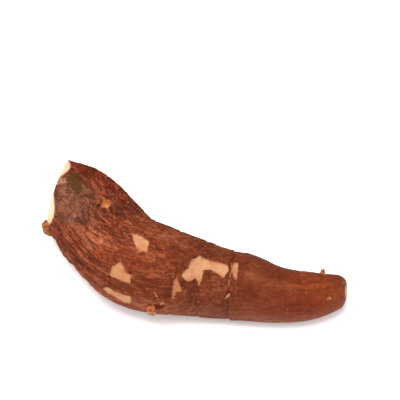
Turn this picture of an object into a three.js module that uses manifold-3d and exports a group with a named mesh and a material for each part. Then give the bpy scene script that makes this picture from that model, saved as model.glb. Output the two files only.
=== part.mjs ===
// A cassava root lying on its side, as it rests on a table.
// It is one grown piece: a bent, tapering storage root with ridged bark, three growth rings, shallow
// places where the outer bark has flaked off, a slanting cut at the stem end, a small cut at the tip,
// a torn scrap of stem at the cut's rim, a lifted flake of bark and the stub of a broken rootlet.
// Millimetres, +Z up. The origin is on the surface it rests on, under the middle of the root's box.

import * as THREE from "three";
import { mergeVertices } from "three/addons/utils/BufferGeometryUtils.js";
import Module from "manifold-3d";

// Centre line from the stem end to the tip: place in plan, gap under the skin, radius.
const stations = [
  { x: -130, y: 68.5, lift: 0, radius: 27.5 },
  { x: -110, y: 46.5, lift: 0, radius: 30.5 },
  { x: -84, y: 18.5, lift: 0, radius: 34 },
  { x: -56, y: -27.5, lift: 0, radius: 34.5 },
  { x: -27, y: -48, lift: 0, radius: 34.5 },
  { x: 4, y: -52, lift: 0, radius: 30 },
  { x: 34, y: -56.5, lift: 0, radius: 25.6 },
  { x: 62, y: -63, lift: 0, radius: 21.7 },
  { x: 90, y: -60, lift: 1, radius: 17.7 },
  { x: 118, y: -49.5, lift: 4, radius: 13 },
];

// The stem end is cut this far along the centre line. Both cuts slant: lean is how far the cut moves
// along the root for each millimetre towards the front or the top, and it fades out over reach.
const headAt = 29.7;
const headCut = { leanFront: 0.86, leanTop: 0.4, reach: 125 };
const tipCut = { leanFront: -0.47, leanTop: -0.11, reach: 25 };

// The tip rounds over this length, down to this share of its radius, where it is cut.
const tipRounding = { length: 8, keep: 0.6 };

// The root's weight flattens its underside: all that would be lower than the table lies on it.
const flattening = 0.9;

// Growth rings: place along the root, how far each slants from back to front, depth and half width.
const rings = [
  { along: 172.5, slant: 1, depth: 0.7, halfWidth: 2.2 },
  { along: 193.5, slant: 2, depth: 0.8, halfWidth: 2.2 },
  { along: 217, slant: 4, depth: 1.1, halfWidth: 2.6 },
];

// Just past the last ring the root swells again, by this much, and tapers back over its reach.
const swelling = { along: 218, height: 1, rise: 5, reach: 36 };

// Broad lumps: height, waves round the root, length of one wave along it, phase.
const lumps = [
  { height: 0.7, waves: 2, length: 190, phase: 0.4 },
  { height: 0.45, waves: 3, length: 120, phase: 2.1 },
  { height: 0.4, waves: 1, length: 64, phase: 4.4 },
];
const lumpFade = 40; // the lumps die out over this length before the tip

// Local swellings and hollows: the middle's place along and round the root (degrees from the top towards
// the front), half length, half width in degrees, and height.
const dents = [
  { along: 306, around: -4, halfLength: 26, halfWidth: 150, height: -2.6 },
  { along: 262, around: 60, halfLength: 40, halfWidth: 60, height: 0.6 },
  { along: 252, around: 125, halfLength: 34, halfWidth: 55, height: -1.6 },
  { along: 120, around: 40, halfLength: 22, halfWidth: 40, height: 0.7 },
  { along: 106, around: 118, halfLength: 34, halfWidth: 55, height: -2.8 },
];

// The rim of the stem end's cut stands forward on one side: where round the root, half width, how far
// back it is felt, and how far it stands forward.
const brow = { around: 52, halfWidth: 75, reach: 26, height: 4.2 };

// Lengthwise folds of the bark in two sets that cross and part: number round the root, height, and how
// far and over what length they wander. They grow from the cut, are highest on the shoulder and fade out
// by the middle of the root.
const foldSets = [
  { count: 26, height: 0.45, wander: 1.6, wanderLength: 82 },
  { count: 17, height: 0.4, wander: -1.3, wanderLength: 57 },
];
const foldReach = { from: 30, full: 66, fading: 95, gone: 195 };

// Places where the outer bark has flaked off: place along and round the root (degrees from the top
// towards the front), half length, half width, and depth.
const flaked = [
  { along: 146.5, around: 62, halfLength: 6, halfWidth: 6 },
  { along: 145.5, around: 97, halfLength: 8, halfWidth: 5 },
  { along: 150, around: 19, halfLength: 6.5, halfWidth: 6 },
  { along: 100, around: -3, halfLength: 8, halfWidth: 5 },
  { along: 186, around: 39, halfLength: 9, halfWidth: 10 },
  { along: 206, around: 28, halfLength: 14, halfWidth: 6 },
];
const flakeDepth = 0.7;

// Small things that stand on the root, each at a place along and round it.
const rootletStub = { along: 289, around: -38, length: 4.2, base: 2.6, top: 1.8, sides: 8, sunk: 3 };
const stemScrap = { along: 54, around: 102, alongRim: 13, out: 8, thick: 8, pastCut: 1.2, sunk: 3.6 };
const barkFlake = { along: 166, around: 103, length: 11, width: 7, thickness: 1.2, lift: 16 };

const aroundCount = 96;
const rowSpacing = 7;
const barkColour = "#7d3d24";

const wasm = await Module();
wasm.setup();

const radians = THREE.MathUtils.degToRad;

const centreLine = new THREE.CatmullRomCurve3(
  stations.map((s) => new THREE.Vector3(s.x, s.y, s.lift + s.radius)), false, "catmullrom", 0.5,
);
centreLine.arcLengthDivisions = 1000;
const radiusLine = new THREE.CatmullRomCurve3(
  stations.map((s) => new THREE.Vector3(s.radius, 0, 0)), false, "catmullrom", 0.5,
);
const rootLength = centreLine.getLength();

// The centre line at a distance along it, with its direction and its front and top sides. Before its
// start it runs on straight.
function frameAt(along) {
  const inside = THREE.MathUtils.clamp(along, 0, rootLength);
  const t = centreLine.getUtoTmapping(inside / rootLength);
  const ahead = centreLine.getTangent(t);
  const centre = centreLine.getPoint(t).addScaledVector(ahead, along - inside);
  const front = new THREE.Vector3(ahead.y, -ahead.x, 0).normalize();
  const top = new THREE.Vector3().crossVectors(front, ahead);
  return { centre, ahead, front, top };
}

// A bump of height 1 at 0 that is gone at plus and minus 1.
function bump(t) {
  return Math.abs(t) < 1 ? (1 - t * t) ** 2 : 0;
}

// Goes smoothly from 0 at the first value to 1 at the second.
function rise(value, from, to) {
  return THREE.MathUtils.smoothstep(value, from, to);
}

function wrapped(angle) {
  return Math.atan2(Math.sin(angle), Math.cos(angle));
}

function radiusAt(along) {
  const t = centreLine.getUtoTmapping(THREE.MathUtils.clamp(along / rootLength, 0, 1));
  const intoTip = THREE.MathUtils.clamp(1 - (rootLength - along) / tipRounding.length, 0, 1);
  return radiusLine.getPoint(t).x * Math.sqrt(1 - (1 - tipRounding.keep ** 2) * intoTip ** 2);
}

// How far the bark stands out from its round section, all forms together.
function reliefAt(along, around) {
  let height = 0;
  const lumpShare = rise(rootLength - along, 0, lumpFade);
  for (const lump of lumps) {
    const wave = Math.sin(lump.waves * around + (2 * Math.PI * along) / lump.length + lump.phase);
    height += lumpShare * lump.height * wave;
  }
  const folding = rise(along, foldReach.from, foldReach.full) * (1 - rise(along, foldReach.fading, foldReach.gone));
  for (const set of foldSets) {
    const wander = set.wander * Math.sin((2 * Math.PI * along) / set.wanderLength + 2 * around);
    height += folding * set.height * Math.sin(set.count * around + wander);
  }
  for (const ring of rings) {
    const offset = along - ring.along + ring.slant * Math.cos(around);
    height -= ring.depth * bump(offset / ring.halfWidth);
  }
  const past = along - swelling.along;
  height += swelling.height * rise(past, 0, swelling.rise) * (1 - rise(past, swelling.rise, swelling.reach));
  for (const dent of dents) {
    const across = wrapped(around - radians(dent.around)) / radians(dent.halfWidth);
    height += dent.height * bump((along - dent.along) / dent.halfLength) * bump(across);
  }
  for (const place of flaked) {
    const across = wrapped(around - radians(place.around)) * radiusAt(along);
    const distance = Math.hypot((along - place.along) / place.halfLength, across / place.halfWidth);
    height -= flakeDepth * (1 - rise(distance, 0.8, 1.1));
  }
  return height;
}

// Rows of points along the root: even steps, and a few more on each growth ring.
function rowPlaces() {
  const steps = Math.round((rootLength - headAt) / rowSpacing);
  const places = [];
  for (let i = 0; i <= steps; i += 1) {
    places.push(THREE.MathUtils.lerp(headAt, rootLength, i / steps));
  }
  for (const ring of rings) {
    places.push(ring.along - ring.halfWidth, ring.along, ring.along + ring.halfWidth);
  }
  places.push(rootLength - 0.45 * tipRounding.length, rootLength - 0.15 * tipRounding.length);
  places.sort((a, b) => a - b);
  return places.filter((place, i) => i === 0 || place - places[i - 1] > 0.8);
}

// Where a point of a row goes: out from the centre line, slid along it to follow the slanting cuts.
function pointOnRoot(row, around, share) {
  const radius = share * (radiusAt(row) + reliefAt(row, around));
  const toFront = radius * Math.sin(around);
  const toTop = radius * Math.cos(around);
  const nearHead = THREE.MathUtils.clamp(1 - (row - headAt) / headCut.reach, 0, 1) ** 2;
  const nearTip = THREE.MathUtils.clamp(1 - (rootLength - row) / tipCut.reach, 0, 1) ** 2;
  const slide =
    nearHead * (headCut.leanFront * toFront + headCut.leanTop * toTop) +
    nearTip * (tipCut.leanFront * toFront + tipCut.leanTop * toTop);
  const acrossBrow = wrapped(around - radians(brow.around)) / radians(brow.halfWidth);
  const forward = share * brow.height * bump(acrossBrow) * bump((row - headAt) / brow.reach);
  const frame = frameAt(row + slide - forward);
  const point = frame.centre.addScaledVector(frame.front, toFront).addScaledVector(frame.top, toTop);
  point.z = Math.max(point.z - flattening, 0);
  return point;
}

// A unit cylinder whose rings of vertices become the root's rows and whose ends become its two cuts.
function barkedRoot() {
  const rows = rowPlaces();
  const geometry = new THREE.CylinderGeometry(1, 1, 1, aroundCount, rows.length - 1, false);
  const position = geometry.attributes.position;
  for (let i = 0; i < position.count; i += 1) {
    const row = rows[Math.round((0.5 - position.getY(i)) * (rows.length - 1))];
    const around = Math.atan2(-position.getX(i), position.getZ(i));
    const share = Math.hypot(position.getX(i), position.getZ(i));
    const point = pointOnRoot(row, around, share);
    position.setXYZ(i, point.x, point.y, point.z);
  }
  return geometry;
}

// Stands a geometry's +Y up from the skin at a place on the root, with its +X along the root.
function standOnSkin(geometry, place, lean, sunk) {
  const around = radians(place.around);
  const frame = frameAt(place.along);
  const out = frame.front.clone().multiplyScalar(Math.sin(around)).addScaledVector(frame.top, Math.cos(around));
  const side = new THREE.Vector3().crossVectors(frame.ahead, out);
  const turn = new THREE.Matrix4().makeBasis(frame.ahead, out, side);
  const at = frame.centre.clone().addScaledVector(out, radiusAt(place.along) - sunk);
  at.z -= flattening;
  geometry.applyMatrix4(new THREE.Matrix4().makeRotationZ(lean));
  geometry.applyMatrix4(turn.setPosition(at));
  return geometry;
}

function stubOfRootlet() {
  const { length, base, top, sides, sunk } = rootletStub;
  const geometry = new THREE.CylinderGeometry(top, base, length + sunk, sides, 1);
  geometry.translate(0, (length + sunk) / 2, 0);
  return standOnSkin(geometry, rootletStub, radians(-12), sunk);
}

// A rough chunk left at the cut's rim where the stem tore: a low-sided ball, longest along the rim.
function scrapOfStem() {
  const { alongRim, out, thick, pastCut, sunk } = stemScrap;
  const geometry = new THREE.IcosahedronGeometry(0.5, 1);
  geometry.scale(thick, out, alongRim);
  geometry.translate(-pastCut, 0, 0);
  return standOnSkin(geometry, stemScrap, 0, sunk);
}

// A flap of bark that hangs on by one edge: a thin tapering plate, sunk into the skin at that edge.
function flakeOfBark() {
  const { length, width, thickness, lift } = barkFlake;
  const outline = new THREE.Shape([
    new THREE.Vector2(-0.5 * length, -0.5 * width),
    new THREE.Vector2(0.4 * length, -0.4 * width),
    new THREE.Vector2(0.5 * length, 0.1 * width),
    new THREE.Vector2(0.1 * length, 0.5 * width),
    new THREE.Vector2(-0.4 * length, 0.4 * width),
  ]);
  const geometry = new THREE.ExtrudeGeometry(outline, { depth: thickness, bevelEnabled: false });
  geometry.rotateX(-Math.PI / 2);
  return standOnSkin(geometry, barkFlake, radians(lift), 0.6);
}

// A geometry as a closed solid, with its shared vertices merged and its collapsed triangles left out.
function solidOf(geometry) {
  const bare = geometry.clone();
  bare.deleteAttribute("normal");
  bare.deleteAttribute("uv");
  const merged = mergeVertices(bare, 1e-4);
  const corners = merged.index.array;
  const kept = [];
  for (let i = 0; i < corners.length; i += 3) {
    const [a, b, c] = [corners[i], corners[i + 1], corners[i + 2]];
    if (a !== b && b !== c && a !== c) kept.push(a, b, c);
  }
  return new wasm.Manifold(new wasm.Mesh({
    numProp: 3, vertProperties: merged.attributes.position.array, triVerts: Uint32Array.from(kept),
  }));
}

function geometryOf(solid) {
  const mesh = solid.getMesh();
  const geometry = new THREE.BufferGeometry();
  geometry.setAttribute("position", new THREE.BufferAttribute(mesh.vertProperties, mesh.numProp));
  geometry.setIndex(new THREE.BufferAttribute(mesh.triVerts, 1));
  geometry.computeVertexNormals();
  return geometry;
}

const grown = [stubOfRootlet(), scrapOfStem(), flakeOfBark()].reduce(
  (whole, piece) => whole.add(solidOf(piece)), solidOf(barkedRoot()),
);

const bark = new THREE.MeshStandardMaterial({ color: barkColour, roughness: 0.85, metalness: 0 });
const cassavaRoot = new THREE.Mesh(geometryOf(grown), bark);
cassavaRoot.name = "cassava_root";

// The box's middle is brought over the origin.
const box = new THREE.Box3().setFromObject(cassavaRoot);
const middle = box.getCenter(new THREE.Vector3());
cassavaRoot.position.set(-middle.x, -middle.y, -box.min.z);

const part = new THREE.Group();
part.add(cassavaRoot);

export default part;
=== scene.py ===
# Looks of a cassava root that lies on its side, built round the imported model.
# Shapes are worked out in millimetres and scaled to metres at the end of each piece.
import math
import bpy
from mathutils import Matrix, Vector, noise


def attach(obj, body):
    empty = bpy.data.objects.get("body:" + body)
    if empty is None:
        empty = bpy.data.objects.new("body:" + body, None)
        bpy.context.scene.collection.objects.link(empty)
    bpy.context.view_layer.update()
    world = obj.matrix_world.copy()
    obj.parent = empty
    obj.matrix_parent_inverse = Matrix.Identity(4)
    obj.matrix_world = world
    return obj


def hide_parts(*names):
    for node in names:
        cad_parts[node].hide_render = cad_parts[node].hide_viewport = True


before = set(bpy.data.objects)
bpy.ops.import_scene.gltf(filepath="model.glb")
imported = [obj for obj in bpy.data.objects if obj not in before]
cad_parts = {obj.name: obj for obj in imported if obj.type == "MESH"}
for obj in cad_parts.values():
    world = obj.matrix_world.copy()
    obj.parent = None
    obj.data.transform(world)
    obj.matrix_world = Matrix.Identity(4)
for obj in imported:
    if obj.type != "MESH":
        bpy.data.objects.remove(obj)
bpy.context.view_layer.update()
mm = 0.001
print("frame loaded")

# camera

cameraValues = {
    "aim": (5.7, 80.9, 0),  # the point on the table that the middle of the view looks at
    "above": 38,  # degrees over the table
    "distance": 1150,
    "lens": 121.8,
}


def placeCamera(values):
    aim = Vector(values["aim"]) * mm
    tilt = math.radians(values["above"])
    away = Vector((0, -math.cos(tilt), math.sin(tilt))) * values["distance"] * mm
    bpy.ops.object.camera_add(location=aim + away, rotation=(math.pi / 2 - tilt, 0, 0))
    camera = bpy.context.object
    camera.data.lens = values["lens"]
    camera.data.clip_start = 0.05
    bpy.context.scene.camera = camera


placeCamera(cameraValues)
print("camera placed")

# light and table

lightValues = {
    "world": 0.58,
    "lamps": {
        # name: place, aim, size, power
        "overhead": ((-160, -260, 940), (0, -20, 0), 700, 14),
        "frontLeft": ((-800, -500, 450), (0, -20, 30), 700, 2.4),
        "frontRight": ((800, -600, 450), (30, -30, 20), 600, 1.2),
    },
}


def lightStudio(values):
    world = bpy.data.worlds.new("studioWorld")
    world.use_nodes = True
    world.node_tree.nodes["Background"].inputs["Color"].default_value = (1, 1, 1, 1)
    world.node_tree.nodes["Background"].inputs["Strength"].default_value = values["world"]
    bpy.context.scene.world = world
    for name, (place, aim, size, power) in values["lamps"].items():
        toAim = (Vector(aim) - Vector(place)).to_track_quat("-Z", "Y").to_euler()
        bpy.ops.object.light_add(type="AREA", location=Vector(place) * mm, rotation=toAim)
        lamp = bpy.context.object
        lamp.name = name
        lamp.data.size = size * mm
        lamp.data.energy = power
    bpy.context.scene.view_settings.view_transform = "Standard"


def layTable():
    bpy.ops.mesh.primitive_plane_add(size=6)
    table = bpy.context.object
    table.name = "table"
    paint = bpy.data.materials.new("paleTable")
    paint.use_nodes = True
    shader = paint.node_tree.nodes["Principled BSDF"]
    shader.inputs["Base Color"].default_value = (0.96, 0.96, 0.96, 1)
    shader.inputs["Roughness"].default_value = 0.8
    shader.inputs["Emission Color"].default_value = (1, 1, 1, 1)
    shader.inputs["Emission Strength"].default_value = 0.28  # keeps the shadows light
    table.data.materials.append(paint)


lightStudio(lightValues)
layTable()
print("light and table placed")

# the root's form

formValues = {
    # centre line from the stem end to the tip: x, y, gap under the skin, radius
    "stations": [
        (-130, 68.5, 0, 27.5), (-110, 46.5, 0, 30.5), (-84, 18.5, 0, 34), (-56, -27.5, 0, 34.5),
        (-27, -48, 0, 34.5), (4, -52, 0, 30), (34, -56.5, 0, 25.6), (62, -63, 0, 21.7),
        (90, -60, 1, 17.7), (118, -49.5, 4, 13),
    ],
    "headAt": 29.7,  # the stem end is cut this far along the centre line
    "headCut": {"leanFront": 0.86, "leanTop": 0.4, "reach": 125},
    "tipCut": {"leanFront": -0.47, "leanTop": -0.11, "reach": 25},
    "tipRounding": {"length": 8, "keep": 0.6},
    "flattening": 0.9,  # what would be lower than the table lies on it
    # growth rings: along, slant, depth, half width
    "rings": [(172.5, 1, 0.7, 2.2), (193.5, 2, 0.8, 2.2), (217, 4, 1.1, 2.6)],
    "ringWear": {"wobble": 1.4, "wobbleSize": 9, "depth": 0.75, "uneven": 0.6, "unevenSize": 14},
    "swelling": {"along": 218, "height": 1, "rise": 5, "reach": 36},
    # broad lumps: height, waves round the root, length of a wave along it, phase
    "lumps": [(0.7, 2, 190, 0.4), (0.45, 3, 120, 2.1), (0.4, 1, 64, 4.4)],
    "lumpFade": 40,  # they die out over this length before the tip
    # lengthwise folds: count, height, wander, length of its wander
    "folds": [(26, 0.45, 1.6, 82), (17, 0.4, -1.3, 57)],
    "foldReach": (30, 66, 95, 195),
    # local swellings and dents: along, degrees, half length, half width in degrees, height
    "dents": [
        (306, -4, 26, 150, -2.6), (262, 60, 40, 60, 0.6), (120, 40, 22, 40, 0.7), (106, 118, 34, 55, -2.8),
        (252, 125, 34, 55, -1.6),
    ],
    "brow": {"around": 52, "halfWidth": 75, "reach": 26, "height": 4.2},  # the rim stands forward here
    # folds finer than those: height in the folded stretch, height elsewhere, width, length
    "wrinkles": [(1.3, 0.14, 3.5, 22), (0.6, 0.10, 1.8, 11)],
    "wrinkleReach": (30, 62, 100, 165),
    "drift": {"size": 15, "reach": 7},  # the folds wander sideways
    # on the flanks the folds run on for longer and wander less
    "sheaves": {"from": 0.7, "full": 1.15, "longer": 2.8, "drift": 0.35, "shift": 12.3},
    "furrow": {"level": 0.4, "below": 0.45},  # how the folds lie about the skin, and where a furrow starts
    "grain": {"height": 0.1, "width": 1.1, "length": 6},
    # worn smoother here: along, degrees, half length, half width in degrees, share that is worn off
    "weathered": (74, 33, 44, 44, 0.7),
    "barkThickness": 0.7,
    "lip": {"height": 0.22, "width": 1.3},  # bark stands up a little round a flaked place
}

# where the outer bark has flaked off: the brightness of the skin there, and outlines of
# (along the root, degrees from the top to the front)
flakedPlaces = {
    "shoulder": (0.86, [(141, 61), (144.5, 50.5), (147, 54), (149.5, 60.5), (152.8, 60.5), (152.8, 71.5),
                        (149, 70.5), (141, 71.5)]),
    "lowShoulder": (0.95, [(137.2, 95.5), (139.8, 88.5), (142, 88.5), (144.5, 91), (147, 89), (149, 91),
                           (153.8, 89.5), (154, 98), (152, 108), (149, 108), (145.5, 105.5),
                           (139.8, 100.5)]),
    "top": (0.95, [(142, 10), (149, 9), (155, 14), (157, 31), (155, 28.5), (153, 32), (149, 26),
                   (145.5, 19)]),
    "neck": (1, [(92, 3), (93, -6), (97, -5), (99, -9), (104, -8), (107, -2), (110, 3), (106, 4), (104, 8),
                 (101, 2), (97, -1)]),
    "belt": (0.97, [
        (175.4, 49), (176.8, 44), (179.4, 38), (180.3, 29), (183.3, 24), (187.6, 16), (192.3, 18),
        (197, 20), (201.8, 20), (205.7, 19), (209.8, 20), (212, 26), (209.4, 39), (208, 41), (205.5, 39),
        (203.5, 36), (200.4, 35), (198.6, 33), (195, 35), (193.2, 36), (193.1, 43), (193.1, 52),
        (192.2, 61), (190.4, 53), (188.4, 50), (186, 50), (183.5, 55), (180, 56), (177.6, 53),
    ]),
    "beltEnd": (0.86, [(214, 25), (214, 12), (218, 10), (218.9, 27), (219.5, 41), (217.4, 38), (215.4, 31)]),
    "tooth": (0.72, [(171.4, 56), (173.2, 54), (175, 60), (177.2, 70), (173.9, 72), (173.4, 86), (172, 80)]),
    "backShoulder": (0.9, [(118, -70), (126, -78), (133, -74), (137, -63), (131, -55), (122, -58)]),
    "backBelt": (1, [(196, -40), (204, -52), (214, -50), (210, -38), (216, -24), (205, -28), (199, -22)]),
    "tipSpeck": (0.95, [(283.6, 57), (287.6, 58), (287, 64), (284, 63)]),
    "backTip": (0.8, [(252, -96), (260, -104), (265, -90), (258, -80)]),
    "under": (0.9, [(228, 166), (240, 158), (246, 172), (236, 184)]),
}
stainedPlaces = {"besideCut": (1, [(50, 0), (57, -9), (69, 5), (79, 13), (78, 23), (67, 20), (57, 15)])}


def catmullRom(values, t):
    # t counts stations; the line goes on straight past its ends
    last = len(values) - 1
    i = min(max(int(t), 0), last - 1)
    before = values[i - 1] if i else 2 * values[0] - values[1]
    after = values[i + 2] if i + 2 <= last else 2 * values[last] - values[last - 1]
    w = t - i
    start, end = (values[i + 1] - before) / 2, (after - values[i]) / 2
    return (
        (2 * values[i] - 2 * values[i + 1] + start + end) * w ** 3
        + (3 * values[i + 1] - 3 * values[i] - 2 * start - end) * w ** 2
        + start * w + values[i]
    )


centrePoints = [Vector((x, y, gap + radius)) for x, y, gap, radius in formValues["stations"]]
stationRadii = [station[3] for station in formValues["stations"]]


def measureLine(points, steps=200):
    # how far along the line each small step of its parameter is
    table = [(0.0, 0.0)]
    previous = points[0]
    for k in range(1, (len(points) - 1) * steps + 1):
        here = catmullRom(points, k / steps)
        table.append((table[-1][0] + (here - previous).length, k / steps))
        previous = here
    return table


lineTable = measureLine(centrePoints)
rootLength = lineTable[-1][0]


def stationAt(along):
    along = min(max(along, 0), rootLength)
    low, high = 0, len(lineTable) - 1
    while high - low > 1:
        middle = (low + high) // 2
        low, high = (middle, high) if lineTable[middle][0] <= along else (low, middle)
    (a, ta), (b, tb) = lineTable[low], lineTable[high]
    return ta + (tb - ta) * (along - a) / (b - a)


def ramp(value, low, high):
    t = min(max((value - low) / (high - low), 0), 1)
    return t * t * (3 - 2 * t)


def bump(t):
    return (1 - t * t) ** 2 if abs(t) < 1 else 0


def wrapped(angle):
    return math.atan2(math.sin(angle), math.cos(angle))


def radiusAt(along):
    rounding = formValues["tipRounding"]
    intoTip = min(max(1 - (rootLength - along) / rounding["length"], 0), 1)
    share = math.sqrt(1 - (1 - rounding["keep"] ** 2) * intoTip ** 2)
    return catmullRom(stationRadii, stationAt(along)) * share


def ridged(point):
    # sharp valleys between rounded swellings, from 0 to 1
    return min(abs(noise.noise(point)) * 2.2, 1)


def formRelief(along, around):
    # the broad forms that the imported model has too
    height = 0
    lumpShare = ramp(rootLength - along, 0, formValues["lumpFade"])
    for size, waves, length, phase in formValues["lumps"]:
        height += lumpShare * size * math.sin(waves * around + 2 * math.pi * along / length + phase)
    start, full, fading, gone = formValues["foldReach"]
    folding = ramp(along, start, full) * (1 - ramp(along, fading, gone))
    for count, size, wander, wanderLength in formValues["folds"]:
        turn = wander * math.sin(2 * math.pi * along / wanderLength + 2 * around)
        height += folding * size * math.sin(count * around + turn)
    swelling = formValues["swelling"]
    past = along - swelling["along"]
    height += swelling["height"] * ramp(past, 0, swelling["rise"]) * (
        1 - ramp(past, swelling["rise"], swelling["reach"]))
    for middle, degrees, halfLength, halfWidth, size in formValues["dents"]:
        across = wrapped(around - math.radians(degrees)) / math.radians(halfWidth)
        height += size * bump((along - middle) / halfLength) * bump(across)
    return height


def ringRelief(along, around, place):
    # growth rings, uneven in depth, and how far the nearest one is
    height, nearest, wear = 0, 99, formValues["ringWear"]
    for ringAlong, slant, depth, halfWidth in formValues["rings"]:
        wobble = wear["wobble"] * noise.noise(place / wear["wobbleSize"] + Vector((ringAlong, 0, 0)))
        offset = along - ringAlong + slant * math.cos(around) + wobble
        uneven = noise.noise(place / wear["unevenSize"] + Vector((0, ringAlong, 0)))
        strength = wear["depth"] + wear["uneven"] * uneven
        height -= depth * strength * bump(offset / halfWidth)
        if abs(offset) < abs(nearest):
            nearest = offset
    return height, nearest


def barkRelief(along, place):
    # fine folds and grain that run along the root, and how deep in a furrow the point is, from 0 to 1
    start, full, fading, gone = formValues["wrinkleReach"]
    folding = ramp(along, start, full) * (1 - ramp(along, fading, gone))
    wornAlong, wornAround, halfLength, halfWidth, wornShare = formValues["weathered"]
    angle = math.atan2(-place.y, place.z)
    acrossWorn = wrapped(angle - math.radians(wornAround)) / math.radians(halfWidth)
    away = math.hypot((along - wornAlong) / halfLength, acrossWorn)
    folding *= 1 - wornShare * bump(min(away, 1))
    wander, sheaves, level = formValues["drift"], formValues["sheaves"], formValues["furrow"]
    spot = place / wander["size"]
    drift = Vector((0, noise.noise(spot), noise.noise(spot + Vector((7, 7, 7))))) * wander["reach"]
    flat = Vector((0, place.y, place.z))
    inSheaves = ramp(abs(angle), sheaves["from"], sheaves["full"])
    relief, furrow = 0, 0
    for folded, elsewhere, width, length in formValues["wrinkles"]:
        swell = ridged((flat + drift) / width + Vector((along / length, width, 0)))
        if inSheaves:
            run = Vector((along / length / sheaves["longer"], width, sheaves["shift"]))
            swell += (ridged((flat + drift * sheaves["drift"]) / width + run) - swell) * inSheaves
        height = elsewhere + (folded - elsewhere) * folding
        relief += height * (swell - level["level"])
        furrow += height * (1 - min(swell / level["below"], 1))
    grain = formValues["grain"]
    fine = Vector((along / grain["length"], place.y / grain["width"], place.z / grain["width"]))
    return relief + grain["height"] * noise.noise(fine), furrow


def distanceToOutline(along, across, outline):
    # less than 0 inside; all in millimetres
    inside, best = False, 1e9
    for k in range(len(outline)):
        (ax, ay), (bx, by) = outline[k - 1], outline[k]
        dx, dy = bx - ax, by - ay
        t = min(max(((along - ax) * dx + (across - ay) * dy) / (dx * dx + dy * dy), 0), 1)
        best = min(best, (along - ax - t * dx) ** 2 + (across - ay - t * dy) ** 2)
        if (ay > across) != (by > across) and along < ax + dx * (across - ay) / dy:
            inside = not inside
    return -math.sqrt(best) if inside else math.sqrt(best)


def outlinesOf(places):
    # each place's middle, its outline round that in millimetres, and its value
    outlines = []
    for value, corners in places.values():
        middleAlong = sum(c[0] for c in corners) / len(corners)
        middleAround = math.radians(sum(c[1] for c in corners) / len(corners))
        radius = radiusAt(middleAlong)
        outline = [(c[0], (math.radians(c[1]) - middleAround) * radius) for c in corners]
        reach = max(math.hypot(x - middleAlong, y) for x, y in outline) + 5
        outlines.append((middleAlong, middleAround, radius, reach, outline, value))
    return outlines


def distanceToPlaces(along, around, outlines):
    # and the value of the nearest place
    best = (9, 1)
    for middleAlong, middleAround, radius, reach, outline, value in outlines:
        across = wrapped(around - middleAround) * radius
        if abs(along - middleAlong) < reach and abs(across) < reach:
            best = min(best, (distanceToOutline(along, across, outline), value))
    return best


flakedOutlines, stainedOutlines = outlinesOf(flakedPlaces), outlinesOf(stainedPlaces)

# where the bark has chipped away from the rims of the two cuts: degrees, half width, depth
chippedRim = [(68, 36, 15), (-10, 34, 9), (168, 18, 4), (-110, 22, 4)]
chippedTip = [(64, 55, 2.6), (-80, 40, 0.9), (-150, 30, 1.2)]


def chipDepth(around, chips):
    depth = 0.3
    for middle, halfWidth, size in chips:
        depth += size * bump(wrapped(around - math.radians(middle)) / math.radians(halfWidth))
    return depth


# the root's mesh

rootMesh = {
    "around": 360,
    "cuts": (15, 14),  # the sides are subdivided twice
    "capRings": 11,
    "startRadius": 30,
    "dome": 1.1,  # the cuts bulge a little in their middle
    "knife": 0.35,  # height of the marks that the knife left
    "tipLayers": 1.9,  # the layers on the tip's cut are this many times thinner
}


def startEdit(selectMode):
    bpy.ops.object.mode_set(mode="EDIT")
    bpy.ops.mesh.select_mode(type=selectMode)
    bpy.ops.mesh.select_all(action="DESELECT")


def selectWhere(piece, kind, test):
    # kind is vertices, edges or polygons; the test gets the element and the mesh
    bpy.ops.object.mode_set(mode="OBJECT")
    mesh = piece.data
    for element in getattr(mesh, kind):
        element.select = test(element, mesh)
    bpy.ops.object.mode_set(mode="EDIT")


def onlySelect(piece):
    bpy.ops.object.select_all(action="DESELECT")
    piece.select_set(True)
    bpy.context.view_layer.objects.active = piece


def newPiece(addPrimitive, scale=(1, 1, 1), **settings):
    # a primitive with its place and scale in its mesh, and nothing else selected
    bpy.ops.object.select_all(action="DESELECT")
    addPrimitive(**settings)
    piece = bpy.context.object
    piece.scale = scale
    bpy.ops.object.transform_apply(location=True, rotation=True, scale=True)
    return piece


def subdivideAll(cuts):
    startEdit("EDGE")
    bpy.ops.mesh.select_all(action="SELECT")
    bpy.ops.mesh.subdivide(number_cuts=cuts)
    bpy.ops.object.mode_set(mode="OBJECT")


def straightBlank(values):
    # a plain cylinder along X, cut into rows, with rings of faces on its ends
    headAt = formValues["headAt"]
    blank = newPiece(
        bpy.ops.mesh.primitive_cylinder_add,
        vertices=values["around"], radius=values["startRadius"], depth=rootLength - headAt,
        location=((rootLength + headAt) / 2, 0, 0), rotation=(0, math.pi / 2, 0),
    )
    blank.name = "cassavaRoot"

    def isLong(edge, mesh):
        a, b = (mesh.vertices[i].co for i in edge.vertices)
        return abs(a.x - b.x) > 0.9 * abs(a.y - b.y) + 0.9 * abs(a.z - b.z) + 0.3

    for cuts in values["cuts"]:
        startEdit("EDGE")
        selectWhere(blank, "edges", isLong)
        bpy.ops.mesh.subdivide(number_cuts=cuts)
        bpy.ops.object.mode_set(mode="OBJECT")
    for side in (-1, 1):
        startEdit("FACE")
        selectWhere(blank, "polygons", lambda face, mesh: face.normal.x * side > 0.9)
        step = values["startRadius"] / (values["capRings"] + 1)
        for _ in range(values["capRings"]):
            bpy.ops.mesh.inset(thickness=step)
        bpy.ops.mesh.poke()
        bpy.ops.object.mode_set(mode="OBJECT")
    return blank


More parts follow.
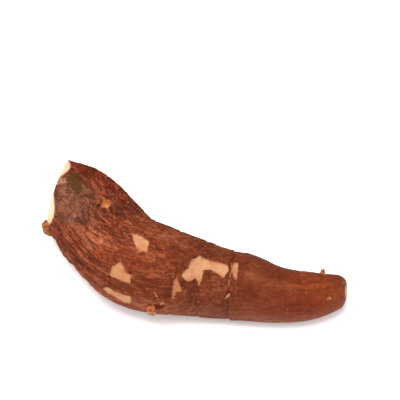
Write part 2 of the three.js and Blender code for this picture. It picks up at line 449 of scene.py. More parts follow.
def slideAt(row, toFront, toTop):
    # how far a point moves along the root so that the two cuts slant
    head, tip = formValues["headCut"], formValues["tipCut"]
    nearHead = min(max(1 - (row - formValues["headAt"]) / head["reach"], 0), 1) ** 2
    nearTip = min(max(1 - (rootLength - row) / tip["reach"], 0), 1) ** 2
    return nearHead * (head["leanFront"] * toFront + head["leanTop"] * toTop) + nearTip * (
        tip["leanFront"] * toFront + tip["leanTop"] * toTop)


def carveRoot(blank, values):
    # moves every vertex to its place on the straight root, and notes what it lies on
    mesh = blank.data
    headAt = formValues["headAt"]
    moved, places, marks, rowRadius = [], [], {}, {}
    for vertex in mesh.vertices:
        row, around = vertex.co.x, math.atan2(-vertex.co.y, vertex.co.z)
        share = math.hypot(vertex.co.y, vertex.co.z) / values["startRadius"]
        key = round(row, 2)
        if key not in rowRadius:
            rowRadius[key] = radiusAt(row)
        radius = rowRadius[key]
        place = Vector((0, -radius * math.sin(around), radius * math.cos(around)))
        place.x = row + slideAt(row, -place.y * share, place.z * share)
        ringHeight, ringOffset = ringRelief(place.x, around, place)
        flakedDistance, skinShade = distanceToPlaces(place.x, around, flakedOutlines)
        stainDistance = distanceToPlaces(place.x, around, stainedOutlines)[0]
        chip = min(row - headAt - chipDepth(around, chippedRim),
                   rootLength - row - chipDepth(around, chippedTip))
        bark, furrow = barkRelief(place.x, place)
        # bare places are smooth and lie lower; the bark's edge round them is lifted
        bare = 1 - ramp(min(flakedDistance, chip), -0.5, 0.4)
        lip = formValues["lip"]["height"] * bump(max(flakedDistance, 0) / formValues["lip"]["width"])
        relief = formRelief(row, around) + ringHeight
        relief += (1 - bare) * (bark + lip) - bare * formValues["barkThickness"]
        full = radius + relief
        toFront, toTop = share * full * math.sin(around), share * full * math.cos(around)
        along = row + slideAt(row, toFront, toTop)
        brow = formValues["brow"]
        across = wrapped(around - math.radians(brow["around"])) / math.radians(brow["halfWidth"])
        along -= share ** 4 * brow["height"] * bump(across) * bump((row - headAt) / brow["reach"])
        rimScale = 1 if row < rootLength / 2 else values["tipLayers"]
        if share < 0.999:
            outwards = -1 if row < rootLength / 2 else 1
            mark = noise.noise(Vector((row, toFront / 4, toTop / 19))) * values["knife"]
            along += outwards * (values["dome"] * (1 - share ** 2) + mark * bump(share))
        moved += (along, -toFront, toTop)
        places += (place.x, place.y * share, place.z * share)
        for name, number in (
            ("flaked", flakedDistance), ("skinShade", skinShade), ("stained", stainDistance),
            ("ringOffset", ringOffset), ("chip", chip), ("fromRim", (1 - share) * full * rimScale),
            ("furrow", furrow),
        ):
            marks.setdefault(name, []).append(number)
    mesh.vertices.foreach_set("co", moved)
    mesh.attributes.new("place", "FLOAT_VECTOR", "POINT").data.foreach_set("vector", places)
    for name, numbers in marks.items():
        mesh.attributes.new(name, "FLOAT", "POINT").data.foreach_set("value", numbers)


def centreCurve():
    # the centre line as a curve whose handles give the same smooth line as its stations
    data = bpy.data.curves.new("centreLine", "CURVE")
    data.dimensions = "3D"
    data.twist_mode = "Z_UP"
    data.resolution_u = 64
    spline = data.splines.new("BEZIER")
    spline.bezier_points.add(len(centrePoints) - 1)
    last = len(centrePoints) - 1
    for i, point in enumerate(centrePoints):
        before = centrePoints[i - 1] if i else 2 * point - centrePoints[1]
        after = centrePoints[i + 1] if i < last else 2 * point - centrePoints[i - 1]
        handle = (after - before) / 6
        knot = spline.bezier_points[i]
        knot.handle_left_type = knot.handle_right_type = "FREE"
        knot.co, knot.handle_left, knot.handle_right = point, point - handle, point + handle
    curve = bpy.data.objects.new("centreLine", data)
    bpy.context.scene.collection.objects.link(curve)
    return curve


def bendOnCurve(piece):
    curve = centreCurve()
    onlySelect(piece)
    bend = piece.modifiers.new("bend", "CURVE")
    bend.object = curve
    bend.deform_axis = "POS_X"
    bpy.ops.object.modifier_apply(modifier="bend")
    bpy.data.objects.remove(curve)


def toMetres(piece):
    # lets the underside lie flat, and gives the mesh its place in metres
    for vertex in piece.data.vertices:
        vertex.co.z = max(vertex.co.z - formValues["flattening"], 0)
        vertex.co *= mm


root = straightBlank(rootMesh)
print("blank cut into", len(root.data.vertices), "points")
carveRoot(root, rootMesh)
print("bark carved")
bendOnCurve(root)
toMetres(root)
print("root bent")

onlySelect(root)
bpy.ops.object.shade_smooth()

# node helpers, which add to the node tree that was begun last

bench = {}


def wire(socket, value):
    # a link or a fixed value; a colour may be given as three numbers
    if isinstance(value, bpy.types.NodeSocket):
        bench["tree"].links.new(value, socket)
    elif value is not None:
        socket.default_value = (*value, 1) if socket.type == "RGBA" and len(value) == 3 else value


def addNode(kind, inputs=None, **settings):
    node = bench["tree"].nodes.new("ShaderNode" + kind)
    for name, value in settings.items():
        setattr(node, name, value)
    for key, value in (inputs or {}).items():
        wire(node.inputs[key], value)
    return node


def calc(operation, a, b=None, c=None, clamp=False):
    return addNode("Math", {0: a, 1: b, 2: c}, operation=operation, use_clamp=clamp).outputs[0]


def times(a, b):
    return calc("MULTIPLY", a, b)


def swing(pattern, amount, middle):
    # a pattern between 0 and 1 swings a value about its middle
    return calc("MULTIPLY_ADD", calc("SUBTRACT", pattern, 0.5), amount, middle)


def vectorCalc(operation, a, b=None, c=None, scale=None):
    return addNode("VectorMath", {0: a, 1: b, 2: c, 3: scale}, operation=operation).outputs[0]


def fade(value, low, high, start=0, end=1):
    # goes smoothly from start to end as the value goes from low to high
    reach = {"Value": value, "From Min": low, "From Max": high, "To Min": start, "To Max": end}
    return addNode("MapRange", reach, interpolation_type="SMOOTHSTEP").outputs["Result"]


def mixed(share, first, second, blend="MIX"):
    return addNode("Mix", {0: share, 6: first, 7: second}, data_type="RGBA", blend_type=blend).outputs[2]


def steps(value, *stops):
    # a colour ramp: each stop is a place and a colour
    node = addNode("ValToRGB", {0: value})
    elements = node.color_ramp.elements
    while len(elements) < len(stops):
        elements.new(1)
    for element, (position, colour) in zip(elements, stops):
        element.position, element.color = position, (*colour, 1)
    return node.outputs["Color"]


def sized(vector, length, width, shift=0):
    # coordinates in which a pattern of size 1 is this many millimetres long and wide
    inputs = {"Vector": vector, "Location": (shift,) * 3, "Scale": (1 / length, 1 / width, 1 / width)}
    return addNode("Mapping", inputs).outputs[0]


def cloud(vector, detail=3, roughness=0.55, distortion=0):
    inputs = {"Vector": vector, "Scale": 1, "Detail": detail, "Roughness": roughness,
              "Distortion": distortion}
    return addNode("TexNoise", inputs).outputs[0]


def noted(name, output="Fac"):
    # what the mesh carries at each of its points
    return addNode("Attribute", attribute_name=name).outputs[output]


def newGroup(name, inputs, *outputs):
    # an input that starts at None is a vector, and one that starts at a tuple is a colour
    bench["tree"] = tree = bpy.data.node_groups.new(name, "ShaderNodeTree")
    for socketName, start in inputs.items():
        kind = "Vector" if start is None else "Color" if isinstance(start, tuple) else "Float"
        socket = tree.interface.new_socket(socketName, in_out="INPUT", socket_type="NodeSocket" + kind)
        if start is not None:
            socket.default_value = start
    for socketName in outputs:
        kind = "Color" if socketName == "Colour" else "Float"
        tree.interface.new_socket(socketName, in_out="OUTPUT", socket_type="NodeSocket" + kind)
    return tree, tree.nodes.new("NodeGroupInput").outputs, tree.nodes.new("NodeGroupOutput").inputs


def useGroup(group, **inputs):
    return addNode("Group", inputs, node_tree=group).outputs


def newMaterial(name):
    material = bpy.data.materials.new(name)
    material.use_nodes = True
    bench["tree"] = material.node_tree
    return material, material.node_tree.nodes["Principled BSDF"].inputs


def finishPaint(shader, colour, roughness, gloss, height, strength, depth):
    wire(shader["Base Color"], colour)
    wire(shader["Roughness"], roughness)
    shader["Specular IOR Level"].default_value = gloss
    inputs = {"Height": height, "Strength": strength, "Distance": depth}
    wire(shader["Normal"], addNode("Bump", inputs).outputs[0])


# effects that several materials share


def makeStrands():
    # fibres that run along X: an even grain, and a few thin strands that catch the light
    inputs = {"Place": None, "Length": 12, "Width": 1.5, "Sway": 0}
    tree, given, result = newGroup("barkStrands", inputs, "Grain", "Strands")
    wander = addNode("TexNoise", {"Vector": sized(given["Place"], 13, 9, 40), "Scale": 1, "Detail": 1})
    wander = vectorCalc("SUBTRACT", wander.outputs["Color"], (0.5, 0.5, 0.5))
    swayed = vectorCalc("MULTIPLY_ADD", wander, given["Sway"], given["Place"])
    size = addNode("CombineXYZ", {0: given["Length"], 1: given["Width"], 2: given["Width"]}).outputs[0]
    spot = vectorCalc("DIVIDE", swayed, size)
    grain = cloud(spot, 4, 0.6, 0.35)
    wire(result["Grain"], grain)
    shifted = vectorCalc("ADD", spot, (5.2, 1.7, 9.1))
    ridge = calc("ABSOLUTE", calc("SUBTRACT", cloud(shifted, 1, 0.5, 0.3), 0.5))
    thin, broken = fade(ridge, 0.045, 0.008), fade(grain, 0.5, 0.62)
    wire(result["Strands"], times(thin, broken))
    return tree


def makeRaggedEdge():
    # turns a smooth distance in millimetres into a torn outline, with its rim as a mask of its own
    inputs = {"Distance": 0, "Place": None, "Tear": 0.8, "Rim": 0.5}
    tree, given, result = newGroup("raggedEdge", inputs, "Inside", "Edge", "Depth")
    coarse = cloud(sized(given["Place"], 3.4, 2.6), 2)
    fine = cloud(sized(given["Place"], 1.1, 0.8, 3), 1)
    jitter = swing(fine, 1.2, swing(coarse, 1.4, 0))
    torn = calc("MULTIPLY_ADD", jitter, given["Tear"], given["Distance"])
    wire(result["Inside"], fade(torn, 0.12, -0.12))
    wire(result["Edge"], fade(calc("DIVIDE", calc("ABSOLUTE", torn), given["Rim"]), 1, 0.2))
    wire(result["Depth"], times(torn, -1))
    return tree


def makeSpecks():
    # scattered dots: their size in millimetres, and the share of the cells that have one
    tree, given, result = newGroup("specks", {"Place": None, "Size": 1, "Share": 0.2}, "Mask")
    spot = vectorCalc("SCALE", given["Place"], scale=calc("DIVIDE", 0.5, given["Size"]))
    cells = addNode("TexVoronoi", {"Vector": spot, "Scale": 1}, feature="F1")
    shade = addNode("SeparateColor", {0: cells.outputs["Color"]}).outputs[0]
    chosen = calc("LESS_THAN", shade, given["Share"])
    wire(result["Mask"], times(fade(cells.outputs["Distance"], 0.34, 0.16), chosen))
    return tree


def makeDust():
    # pale dust that clings in patches
    inputs = {"Colour": (0, 0, 0, 1), "Place": None, "Amount": 0.3, "Dust": (0.5, 0.3, 0.22, 1)}
    tree, given, result = newGroup("clingingDust", inputs, "Colour")
    patches = fade(cloud(sized(given["Place"], 6, 5, 11), 4, 0.65), 0.42, 0.68)
    grains = fade(cloud(sized(given["Place"], 0.7, 0.6, 4), 2), 0.35, 0.65)
    cover = times(calc("MULTIPLY_ADD", patches, 0.7, 0.3), grains)
    cover = calc("MULTIPLY", cover, given["Amount"], clamp=True)
    wire(result["Colour"], mixed(cover, given["Colour"], given["Dust"]))
    return tree


strands, raggedEdge, specks, clingingDust = makeStrands(), makeRaggedEdge(), makeSpecks(), makeDust()

# bark, with the skin under it where it has flaked

barkFinish = {
    "dark": (0.030, 0.0055, 0.0015), "deep": (0.074, 0.013, 0.0035), "middle": (0.136, 0.026, 0.007),
    "light": (0.208, 0.056, 0.021), "pale": (0.320, 0.125, 0.064), "strand": (0.35, 0.132, 0.072),
    "weatheredDark": (0.070, 0.023, 0.011), "weatheredLight": (0.200, 0.080, 0.043),
    "scuffed": (0.42, 0.180, 0.110), "stain": (0.054, 0.022, 0.004), "dust": (0.30, 0.115, 0.072),
    # the last colour on the next line is painted shade under the loose bark
    "tornEdge": (0.34, 0.130, 0.055), "hollow": (0.080, 0.008, 0.001),
    "skinPale": (0.415, 0.212, 0.103), "skinDeep": (0.300, 0.105, 0.038), "skinPink": (0.385, 0.145, 0.072),
    "film": (0.200, 0.055, 0.014), "skinOrange": (0.300, 0.070, 0.013), "cortex": (0.58, 0.43, 0.29),
    # tints that multiply the bark's colour
    "foldedTint": (1.07, 0.83, 0.7), "middleTint": (0.76, 0.645, 0.5), "tipTint": (1.42, 1.24, 0.96),
    # these two lighten the bark: painted highlight
    "paintedHighlightTint": (1.45, 1.85, 2.2), "paintedRidgeHighlightTint": (1.3, 1.5, 1.65),
    # these two darken the bark: painted shade
    "paintedBackShadeTint": (0.64, 0.38, 0.3), "paintedTopShadeTint": (0.8, 0.36, 0.12),
    # ovals: raggedness, edge from and to as a share of the oval, strength outside and inside,
    # and the places: along, degrees, half length, half width in degrees
    "ovals": {
        # painted highlight along the upper front of the thin end
        "paintedHighlight": (1, 1.1, 0.2, 0, 0.85, [(233, 25, 13, 14), (253, 25, 13, 14), (276, 25, 22, 9)]),
        # painted highlight on the folds near the stem end
        "paintedRidgeHighlight": (1.6, 1.1, 0.4, 0, 0.7, [(121, 43, 19, 26)]),
        # dark blotches; the five from 89 to 118 along, round the neck, are painted shade
        "blotchesAndPaintedShade": (1.8, 1.1, 0.5, 0, 0.65, [
            (150.5, 77, 6, 8), (159, 67, 8, 9), (186, 66, 10, 9), (89, 8, 6, 6), (101, 13, 6, 6),
            (109, -9, 9, 11), (118, -3, 8, 9), (93, -14, 6, 6)]),
        "weathered": (1.3, 1.3, 0.6, 0, 1, [(76, 32, 34, 32)]),
        "scuffed": (3.5, 1, 0.3, 0, 0.6, [(54, 21, 9, 9)]),
        "rimShade": (0.8, 1.1, 0.5, 0, 0.5, [(56, 40, 7, 14)]),
        "pitted": (1, 1.1, 0.4, 0.16, 0.6, [(95, 25, 12, 13)]),
        # painted shade: a dark hollow under the loose bark
        "hollow": (1, 1.15, 0.8, 0, 1, [(165.4, 100.5, 3.8, 6)]),  # under the loose bark
    },
    # what changes along the root: from, to, and its value at both
    "zones": {
        "folded": (200, 110, 0, 1), "middle": (140, 195, 0, 1), "tip": (235, 285, 0, 1),
        "longGrain": (105, 165, 1.05, 0.1), "shortGrain": (100, 140, 0.3, 0.55),
        "grainEnds": (235, 195, 0.04, 1),
        "fineGrain": (190, 235, 0.3, 0.03), "clouds": (200, 240, 0.65, 0.35),
        "mottle": (200, 240, 0.95, 0.42),
        # back and top on the next line place the painted shade on the back and on the top
        "back": (190, 230, 0, 0.35), "top": (130, 95, 0, 0.72), "swept": (175, 110, 0.12, 0.38),
        "strands": (180, 115, 0.1, 0.65), "fineStrands": (235, 150, 0, 0.2),
        "cracksFrom": (110, 150, 0.3, 1), "cracksTo": (260, 210, 0.25, 1), "spots": (205, 165, 0.05, 0.2),
        "grooves": (200, 212, 0.3, 0.7), "tornRings": (183, 190, 0, 1), "orangeSkin": (110, 101, 0, 1),
        "roughness": (150, 240, 0.82, 0.5), "grainHeight": (110, 230, 0.9, 0.15),
        "fineHeight": (190, 235, 0.5, 0.12),
    },
    # fibres: length, width, sway
    "grain": (20, 1.7, 8), "sheaves": (28, 1.4, 6), "short": (6, 1.3, 6), "fine": (2.6, 0.6, 4),
    "gloss": 0.07,
}


def ovalMasks(along, angle, noiseShare, oval):
    # one ragged mask for each of an oval's places
    raggedness, outer, inner, least, full, spots = oval
    masks = []
    for middle, degrees, halfLength, halfWidth in spots:
        x = calc("DIVIDE", calc("SUBTRACT", along, middle), halfLength)
        y = calc("DIVIDE", calc("SUBTRACT", angle, math.radians(degrees)), math.radians(halfWidth))
        away = calc("SQRT", calc("MULTIPLY_ADD", x, x, times(y, y)))
        masks.append(fade(swing(noiseShare, raggedness, away), outer, inner, least, full))
    return masks


def paintBark(values):
    material, shader = newMaterial("rootBark")
    place = noted("place", "Vector")
    furrow, flaked = noted("furrow"), noted("flaked")
    along, side, high = addNode("SeparateXYZ", {0: place}).outputs
    angle = calc("ARCTAN2", times(side, -1), high)

    def zone(name):
        return fade(along, *values["zones"][name])

    def ovals(name, noiseShare):
        return ovalMasks(along, angle, noiseShare, values["ovals"][name])

    def fibres(name):
        length, width, sway = values[name]
        return useGroup(strands, Place=place, Length=length, Width=width, Sway=sway)

    def coat(mask, name, blend="MIX"):
        # lays one of the finish's colours over what is there
        nonlocal colour
        colour = mixed(mask, colour, values[name], blend)

    def tint(mask, name):
        coat(mask, name, "MULTIPLY")

    # the bark's own tone: long grain, fine grain, clouds
    sheafValues = formValues["sheaves"]
    inSheaves = fade(calc("ABSOLUTE", angle), sheafValues["from"], sheafValues["full"])
    grains, sheaves, shortGrain, fineGrain = (fibres(name) for name in ("grain", "sheaves", "short", "fine"))
    longGrain, longStrands = (
        calc("MULTIPLY_ADD", calc("SUBTRACT", sheaves[name], grains[name]), inSheaves, grains[name])
        for name in ("Grain", "Strands")
    )
    clouds = cloud(sized(place, 26, 15, 2), 3, 0.6)
    mottle = cloud(sized(place, 3.4, 2.6, 8), 4, 0.65)
    edgeNoise = cloud(sized(place, 7, 5, 21), 4, 0.6)
    tone = swing(longGrain, zone("longGrain"), 0.5)
    tone = swing(shortGrain["Grain"], times(zone("shortGrain"), zone("grainEnds")), tone)
    tone = swing(fineGrain["Grain"], zone("fineGrain"), tone)
    tone = swing(clouds, zone("clouds"), tone)
    tone = swing(mottle, zone("mottle"), tone)
    colour = steps(tone, (0.12, values["dark"]), (0.34, values["deep"]), (0.5, values["middle"]),
                   (0.68, values["light"]), (0.92, values["pale"]))

    # redder where it folds, browner in the middle, lighter towards the tip
    for name in ("folded", "middle", "tip"):
        tint(zone(name), name + "Tint")

    # painted highlight along the upper front of the thin end and on the folds near the stem end; painted
    # shade on the back of the thin half and on the top of the stem end
    for mask in ovals("paintedHighlight", clouds):
        tint(mask, "paintedHighlightTint")
    tint(ovals("paintedRidgeHighlight", longGrain)[0], "paintedRidgeHighlightTint")
    tint(times(fade(angle, 0.25, -0.6), zone("back")), "paintedBackShadeTint")
    tint(times(fade(angle, 0.5, -0.1), zone("top")), "paintedTopShadeTint")
    swept = times(fade(clouds, 0.52, 0.66), fade(shortGrain["Grain"], 0.42, 0.62))
    coat(times(swept, zone("swept")), "strand")
    # dark blotches on the bark, and painted shade in the crevices by the neck
    for mask in ovals("blotchesAndPaintedShade", mottle):
        coat(mask, "deep")

    # the stem end is weathered grey, with a scuffed spot and painted shade near the rim of the cut
    grey = swing(longGrain, 0.6, swing(edgeNoise, 1.1, mottle))
    grey = steps(grey, (0.25, values["weatheredDark"]), (0.8, values["weatheredLight"]))
    colour = mixed(times(ovals("weathered", edgeNoise)[0], 0.85), colour, grey)
    coat(ovals("scuffed", mottle)[0], "scuffed")
    coat(ovals("rimShade", edgeNoise)[0], "deep")

    # furrows are darkened with painted shade, pale strands on the folds are partly pale fibres and partly
    # painted highlight, and a dark stain is beside the cut
    coat(fade(furrow, 0.08, 0.8, 0, 0.68), "dark")
    fineLit = times(fineGrain["Strands"], zone("fineStrands"))
    lit = calc("MAXIMUM", times(longStrands, zone("strands")), fineLit)
    coat(lit, "strand")
    stainAway = swing(mottle, 2.6, noted("stained"))
    coat(fade(stainAway, 0.7, -0.6, 0, 0.85), "stain")

    # short cracks along the grain, dark pits, pale spots, and dust on the lower flanks with painted
    # reflection of the pale table
    cracks = fade(cloud(sized(place, 3.2, 0.55, 6), 2, 0.5), 0.6, 0.68)
    cracks = times(cracks, times(zone("cracksFrom"), zone("cracksTo")))
    coat(times(cracks, 0.5), "dark")
    pitted = calc("MAXIMUM", ovals("pitted", edgeNoise)[0], fade(high, 4, -10, 0, 0.42))
    pits = useGroup(specks, Place=place, Size=0.8, Share=pitted)["Mask"]
    coat(times(pits, 0.55), "dark")
    spots = useGroup(specks, Place=place, Size=1.2, Share=zone("spots"))["Mask"]
    coat(times(spots, 0.45), "pale")
    # dust and painted reflection of the table, stronger lower down
    dustAndTableReflection = fade(high, 6, -16, 0.12, 0.85)
    colour = useGroup(clingingDust, Colour=colour, Place=place, Amount=dustAndTableReflection, Dust=values["dust"])["Colour"]
    # painted shade in the hollow under the loose bark
    coat(ovals("hollow", mottle)[0], "hollow")

    # growth rings: a dark groove with a pale torn line in places
    ringAway = calc("ABSOLUTE", swing(cloud(sized(place, 2, 1.6, 14), 3, 0.6), 2.2, noted("ringOffset")))
    groove = times(fade(ringAway, 1.3, 0.1), fade(mottle, 0.38, 0.56))
    coat(times(groove, zone("grooves")), "dark")
    torn = times(fade(ringAway, 0.6, 0.25), fade(cloud(sized(place, 40, 7, 31), 2, 0.5), 0.54, 0.62))
    coat(times(times(torn, zone("tornRings")), 0.8), "tornEdge")

    # where the bark has flaked, its torn rim and the smooth skin below
    bare = useGroup(raggedEdge, Distance=flaked, Place=place, Tear=1, Rim=0.5)
    coat(times(bare["Edge"], fade(mottle, 0.4, 0.6, 0, 0.6)), "tornEdge")
    skinGrain = useGroup(strands, Place=place, Length=6, Width=1.1)["Grain"]
    blush = cloud(sized(place, 9, 7, 17), 2, 0.5)
    barkColour, colour = colour, mixed(fade(blush, 0.44, 0.64), values["skinPale"], values["skinPink"])
    coat(zone("orangeSkin"), "skinOrange")
    coat(fade(skinGrain, 0.5, 0.3, 0, 0.35), "skinDeep")
    # painted shadow just inside a flaked place's torn rim, under the lifted bark edge
    coat(fade(bare["Depth"], 0.7, 0, 0, 0.45), "skinDeep")
    film = times(fade(mottle, 0.5, 0.62), fade(bare["Depth"], 2.2, 0.6))
    coat(times(film, 0.45), "film")
    left = useGroup(specks, Place=place, Size=0.7, Share=0.1)["Mask"]
    coat(times(left, 0.6), "light")
    skinShade = noted("skinShade")
    coat(fade(skinShade, 1, 0.7, 0, 0.75), "skinDeep")
    colour = vectorCalc("SCALE", colour, scale=calc("MAXIMUM", skinShade, 0.93))
    colour = mixed(bare["Inside"], barkColour, colour)

    # at the cut's rim the bark has chipped down to the white cortex
    chipped = useGroup(raggedEdge, Distance=noted("chip"), Place=place, Tear=1, Rim=0.5)
    cortex = steps(swing(skinGrain, 0.5, fade(chipped["Depth"], 0, 5)),
                   (0, values["skinDeep"]), (0.2, values["skinPale"]), (0.7, values["cortex"]))
    colour = mixed(chipped["Inside"], colour, cortex)

    # bare skin and cortex are smoother than bark
    clean = calc("MAXIMUM", bare["Inside"], chipped["Inside"])
    roughness = calc("MULTIPLY_ADD", mottle, 0.16, zone("roughness"))
    roughness = calc("SUBTRACT", roughness, times(clean, 0.12))
    height = times(longGrain, zone("grainHeight"))
    height = calc("MULTIPLY_ADD", fineGrain["Grain"], zone("fineHeight"), height)
    height = calc("MULTIPLY_ADD", mottle, 0.5, height)
    height = calc("SUBTRACT", height, times(calc("MAXIMUM", pits, cracks), 0.35))
    height = times(height, calc("MULTIPLY_ADD", clean, -0.85, 1))
    height = calc("SUBTRACT", height, times(clean, 0.25))
    finishPaint(shader, colour, roughness, values["gloss"], height, 0.8, 0.0009)
    return material


# the cut ends

fleshFinish = {
    "flesh": (0.71, 0.61, 0.48), "fleshPale": (0.76, 0.67, 0.55), "ray": (0.60, 0.47, 0.35),
    "fibre": (0.46, 0.34, 0.21), "dryMark": (0.55, 0.36, 0.15), "dust": (0.45, 0.27, 0.16),
    # layers at the rim: colour, width in millimetres, softness of its inner edge on both sides
    "layers": {
        "cortex": ((0.72, 0.60, 0.45), 3.3, 0.1, 0.1), "pink": ((0.46, 0.19, 0.12), 1.1, 0.2, 0.3),
        "barkEdge": ((0.090, 0.022, 0.008), 0.55, 0.15, 0.15),
    },
    "line": (0.50, 0.37, 0.24),  # runs round inside the cortex
    "gloss": 0.4,
}


def paintFlesh(values):
    material, shader = newMaterial("cutFlesh")
    place = noted("place", "Vector")
    split = addNode("SeparateXYZ", {0: place}).outputs
    flat = addNode("CombineXYZ", {0: 0, 1: split[1], 2: split[2]}).outputs[0]
    outwards = vectorCalc("NORMALIZE", flat)
    fromMiddle = addNode("VectorMath", {0: flat}, operation="LENGTH").outputs["Value"]
    fromRim = swing(cloud(sized(place, 5, 5), 2), 0.9, noted("fromRim"))
    rays = cloud(sized(outwards, 1, 0.045), 2, 0.5)
    pulp = cloud(sized(place, 2.2, 2.2, 5), 4, 0.6)
    colour = mixed(fade(pulp, 0.4, 0.65), values["flesh"], values["fleshPale"])
    colour = mixed(times(fade(rays, 0.55, 0.72), fade(fromMiddle, 3, 14, 0, 0.45)), colour, values["ray"])
    colour = mixed(fade(fromMiddle, 1.5, 0.5, 0, 0.8), colour, values["fibre"])
    marks = useGroup(specks, Place=place, Size=0.9, Share=0.06)["Mask"]
    colour = mixed(times(marks, 0.5), colour, values["dryMark"])
    for name, (layerColour, width, inside, outside) in values["layers"].items():
        colour = mixed(fade(fromRim, width + inside, width - outside), colour, layerColour)
        if name == "cortex":
            lineAway = calc("ABSOLUTE", calc("SUBTRACT", fromRim, width))
            colour = mixed(fade(lineAway, 0.35, 0.1, 0, 0.7), colour, values["line"])
    colour = useGroup(clingingDust, Colour=colour, Place=place, Amount=0.16, Dust=values["dust"])["Colour"]
    height = calc("MULTIPLY_ADD", rays, 0.35, pulp)
    finishPaint(shader, colour, fade(pulp, 0.35, 0.7, 0.42, 0.6), values["gloss"], height, 0.5, 0.0005)
    return material


bark, flesh = paintBark(barkFinish), paintFlesh(fleshFinish)
print("materials made")


def dressRoot(piece):
    # the rounded side takes the bark, and the two cuts take the flesh
    piece.data.materials.append(bark)
    piece.data.materials.append(flesh)
    rims = piece.data.attributes["fromRim"].data
    for face in piece.data.polygons:
        face.material_index = int(max(rims[i].value for i in face.vertices) > 0.01)


dressRoot(root)

# loose bits: a scrap of stem at the cut, curled bark, the stub of a rootlet, a nub at the tip


def aheadAt(along):
    # the way towards the tip
    t = stationAt(along)
    return catmullRom(centrePoints, t + 0.01) - catmullRom(centrePoints, t - 0.01)


def spotOnRoot(along, around):
    # the finished bark nearest to a place, the way out of it and the direction towards the tip
    angle = math.radians(around)
    straight = root.data.attributes["place"].data
    rims = root.data.attributes["fromRim"].data
    target = Vector((along, -math.sin(angle) * radiusAt(along), math.cos(angle) * radiusAt(along)))
    onBark = (i for i in range(len(straight)) if rims[i].value < 0.01)
    nearest = min(onBark, key=lambda i: (Vector(straight[i].vector) - target).length_squared)
    vertex = root.data.vertices[nearest]
    out, ahead = vertex.normal.copy(), aheadAt(along)
    return vertex.co / mm, out, (ahead - out * ahead.dot(out)).normalized()


def spotAtRim(along, around):
    # the same for the cut's rim, worked out from the centre line
    ahead = aheadAt(along).normalized()
    front = Vector((ahead.y, -ahead.x, 0)).normalized()
    angle = math.radians(around)
    out = front * math.sin(angle) + front.cross(ahead) * math.cos(angle)
    spot = catmullRom(centrePoints, stationAt(along)) + out * radiusAt(along)
    return spot - Vector((0, 0, formValues["flattening"])), out, ahead


noise.seed_set(14)  # what noise_vector gives is the same on every run


def roughen(piece, size, height, shift):
    # pushes the vertices about by noise
    for vertex in piece.data.vertices:
        vertex.co += noise.noise_vector(vertex.co / size + Vector((shift, shift * 2, 0))) * height


scrapFinishes = {
    # name: dark, middle, light, dust, length and width of the grain, roughness
    "dryWood": ((0.080, 0.018, 0.005), (0.230, 0.070, 0.020), (0.400, 0.165, 0.060), (0.38, 0.17, 0.07),
                5, 0.7, 0.85),
    "curledBark": ((0.060, 0.010, 0.003), (0.200, 0.045, 0.010), (0.340, 0.110, 0.036), (0.30, 0.12, 0.06),
                   6, 0.8, 0.7),
    "rustyCurl": ((0.130, 0.024, 0.004), (0.300, 0.066, 0.010), (0.420, 0.130, 0.028), (0.36, 0.13, 0.05),
                  6, 0.8, 0.7),
    "paleCurl": ((0.200, 0.065, 0.024), (0.360, 0.150, 0.068), (0.480, 0.240, 0.125), (0.46, 0.23, 0.12),
                 5, 0.8, 0.75),
    "rootletBark": ((0.110, 0.022, 0.006), (0.250, 0.062, 0.017), (0.380, 0.140, 0.048), (0.33, 0.12, 0.06),
                    4, 0.6, 0.75),
}
scrapValues = {"gloss": 0.15, "smoothBelow": 50}


def paintScrap(name, dark, middle, light, dust, grainLength, grainWidth, roughness):
    material, shader = newMaterial(name)
    place = noted("place", "Vector")
    grain = useGroup(strands, Place=place, Length=grainLength, Width=grainWidth)
    mottle = cloud(sized(place, 2.4, 1.8, 3), 4, 0.65)
    colour = steps(swing(mottle, 0.9, grain["Grain"]), (0.32, dark), (0.5, middle), (0.72, light))
    colour = mixed(times(grain["Strands"], 0.6), colour, light)
    pits = useGroup(specks, Place=place, Size=0.6, Share=0.2)["Mask"]
    colour = mixed(times(pits, 0.6), colour, dark)
    colour = useGroup(clingingDust, Colour=colour, Place=place, Amount=0.4, Dust=dust)["Colour"]
    roughness = fade(mottle, 0.3, 0.7, roughness - 0.1, roughness)
    height = calc("ADD", grain["Grain"], mottle)
    finishPaint(shader, colour, roughness, scrapValues["gloss"], height, 0.8, 0.0006)
    return material


scrapPaints = {name: paintScrap(name, *values) for name, values in scrapFinishes.items()}


def fixScrap(piece, name, paint, spot, sunk, turn=0, lean=0):
    # the piece is modelled round 0 with Z out of the bark and X along the root;
    # its material follows its own millimetres, noted before it is put in place
    own = [c for vertex in piece.data.vertices for c in vertex.co]
    piece.data.attributes.new("place", "FLOAT_VECTOR", "POINT").data.foreach_set("vector", own)
    place, out, ahead = spot
    axes = Matrix((ahead, out.cross(ahead), out)).transposed().to_4x4()
    axes = axes @ Matrix.Rotation(math.radians(turn), 4, "Z") @ Matrix.Rotation(math.radians(lean), 4, "Y")
    for vertex in piece.data.vertices:
        vertex.co = (place - out * sunk + axes @ vertex.co) * mm
    piece.name = name
    onlySelect(piece)
    bpy.ops.object.shade_smooth_by_angle(angle=math.radians(scrapValues["smoothBelow"]))
    piece.data.materials.clear()
    piece.data.materials.append(scrapPaints[paint])
    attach(piece, "root")


stemScrap = {
    "along": 54, "around": 100, "sunk": 3.2, "size": (7.2, 11.2, 6.8), "bevel": 1.3, "cuts": 7,
    "shift": -1.5,  # how far past the cut it stands
    "splinters": 1.1, "splinterWidth": 0.9,
    "rough": [(5, 1, 3.1), (1.1, 0.35, 8.4)],  # size, height and shift of its lumps, then of its grain
}


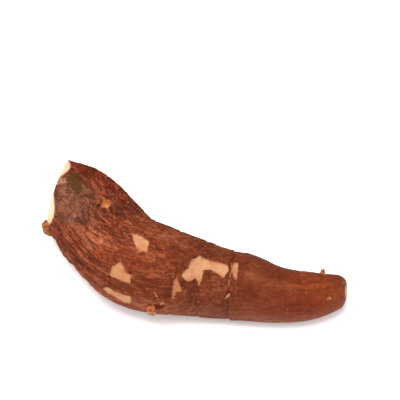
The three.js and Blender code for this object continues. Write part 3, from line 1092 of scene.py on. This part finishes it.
def makeStemScrap(values):
    # a chunk of dry wood with torn ends that hangs on the rim of the cut
    scrap = newPiece(bpy.ops.mesh.primitive_cube_add, values["size"], size=1)
    startEdit("EDGE")
    bpy.ops.mesh.select_all(action="SELECT")
    bpy.ops.mesh.bevel(offset=values["bevel"], segments=2, affect="EDGES")
    subdivideAll(values["cuts"])
    lumps, grain = values["rough"]
    roughen(scrap, *lumps)
    width = values["splinterWidth"]
    for vertex in scrap.data.vertices:  # its ends are torn along the grain
        torn = ridged(Vector((vertex.co.x / width, 0, vertex.co.z / width)))
        vertex.co.y += math.copysign(values["splinters"] * torn * (abs(vertex.co.y) / 6) ** 3, vertex.co.y)
        vertex.co.x += values["shift"]
    roughen(scrap, *grain)
    fixScrap(scrap, "stemScrap", "dryWood", spotAtRim(values["along"], values["around"]), values["sunk"])


barkCurls = {
    # name: along, degrees, sunk, turn, lean, length, width, curl in degrees, material
    "hangingCurl": (163.6, 97, 0.3, 200, 10, 6.5, 5.2, 100, "rustyCurl"),
    "hangingFlap": (163.6, 115, 0.3, -170, 10, 7, 6, 60, "paleCurl"),
    "lowFlap": (168.6, 93, 0.1, 75, -6, 5, 2.6, 50, "paleCurl"),
    "beltFlake": (216.8, 71, 0.1, 74, -8, 7, 2.4, 70, "paleCurl"),
    "shoulderFlake": (164.2, 79, 0.1, -45, -6, 5, 1.5, 60, "paleCurl"),
    "neckFlake": (98, 9, 0.2, -20, -14, 7, 3, 60, "curledBark"),
}
curlValues = {"cuts": 9, "thickness": 0.55, "narrowing": 0.45, "jag": 0.5, "tear": 0.5, "lift": 0.05}


def makeBarkCurl(name, along, around, sunk, turn, lean, length, width, curl, finish):
    # a strip of bark that has come loose and rolled up along its grain
    strip = newPiece(bpy.ops.mesh.primitive_plane_add, (length, width, 1), size=1)
    subdivideAll(curlValues["cuts"])
    bend = math.radians(curl)
    radius = width / bend
    for vertex in strip.data.vertices:
        x, y = vertex.co.x, vertex.co.y
        jag = noise.noise(Vector((x * 0.9, y * 0.9, along)))
        y *= 1 - curlValues["narrowing"] * (2 * x / length) ** 2 + curlValues["jag"] * jag
        x += curlValues["tear"] * noise.noise(Vector((y * 1.7, along, 2))) * (2 * abs(x) / length) ** 2
        angle = bend * (y / width + 0.5)
        vertex.co = (x, radius * math.sin(angle), radius * (1 - math.cos(angle)) + curlValues["lift"] * x)
    wall = strip.modifiers.new("wall", "SOLIDIFY")
    wall.thickness = curlValues["thickness"]
    onlySelect(strip)
    bpy.ops.object.modifier_apply(modifier="wall")
    roughen(strip, 1.6, 0.3, along)
    fixScrap(strip, name, finish, spotOnRoot(along, around), sunk, turn, lean)


stubs = {
    # name: along, degrees, sunk, lean, height, base radius, top radius, hollow
    "rootletStub": (289.3, -29, 0.9, -6, 3.3, 2.5, 1.5, 0.5),
    "tipNub": (301.5, 22, 0.8, 35, 1.7, 1.0, 0.7, 0.4),
}
stubValues = {"around": 18, "cuts": 2, "flare": 1.25, "wall": 0.4, "broken": 0.9, "waist": 0.18}


def makeStub(name, along, around, sunk, lean, height, base, top, hollow):
    # a broken-off rootlet: a short tapering stump with a ragged hollow end
    depth = height + sunk
    stub = newPiece(
        bpy.ops.mesh.primitive_cone_add, vertices=stubValues["around"],
        radius1=base * stubValues["flare"], radius2=top, depth=depth, location=(0, 0, depth / 2))
    startEdit("FACE")
    selectWhere(stub, "polygons", lambda face, mesh: face.normal.z > 0.9)
    bpy.ops.mesh.inset(thickness=top * stubValues["wall"])
    bpy.ops.mesh.extrude_region_move(TRANSFORM_OT_translate={"value": (0, 0, -hollow)})
    subdivideAll(stubValues["cuts"])
    for vertex in stub.data.vertices:
        broken = stubValues["broken"] * max(vertex.co.z / depth - 0.75, 0) * 4
        vertex.co.z += broken * noise.noise(vertex.co / 0.8 + Vector((along, 0, 0)))
        waist = 1 - stubValues["waist"] * bump((vertex.co.z - 0.5 * height) / height)
        vertex.co.x *= waist
        vertex.co.y *= waist
    roughen(stub, 1.2, 0.25, along)
    fixScrap(stub, name, "rootletBark", spotOnRoot(along, around), sunk, 0, lean)


makeStemScrap(stemScrap)
for name, values in barkCurls.items():
    makeBarkCurl(name, *values)
for name, values in stubs.items():
    makeStub(name, *values)
print("loose bits added")

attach(root, "root")
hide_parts("cassava_root")
